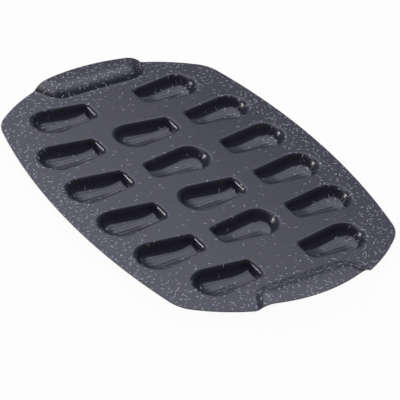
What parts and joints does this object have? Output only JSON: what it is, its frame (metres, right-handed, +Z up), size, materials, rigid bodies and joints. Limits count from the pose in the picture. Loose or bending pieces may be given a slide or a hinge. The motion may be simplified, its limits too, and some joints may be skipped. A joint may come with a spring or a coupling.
{
  "type": "madeleine pan",
  "caption": "Flat oblong baking pan pressed from one thin coated sheet, with fluted shell-shaped cavities in rows and a raised hood handle at each end.",
  "frame": {"origin": "on the surface that the pan rests on, under the middle of its outline", "axes": "+X from the left handle to the right one, +Y to the back side, +Z up"},
  "size_m": [0.4, 0.286, 0.0198],
  "materials": {
    "coated_sheet": "matt stone-effect non-stick coating"
  },
  "bodies": {
    "root": {"deck": "coated_sheet", "left_handle": "coated_sheet", "right_handle": "coated_sheet", "shell_1_back": "coated_sheet", "shell_1_front": "coated_sheet", "shell_2_back": "coated_sheet", "shell_2_front": "coated_sheet", "shell_2_middle": "coated_sheet", "shell_3_back": "coated_sheet", "shell_3_front": "coated_sheet", "shell_3_middle": "coated_sheet", "shell_4_back": "coated_sheet", "shell_4_front": "coated_sheet", "shell_4_middle": "coated_sheet", "shell_5_back": "coated_sheet", "shell_5_front": "coated_sheet", "shell_5_middle": "coated_sheet", "shell_6_back": "coated_sheet", "shell_6_front": "coated_sheet"}
  },
  "joints": []
}
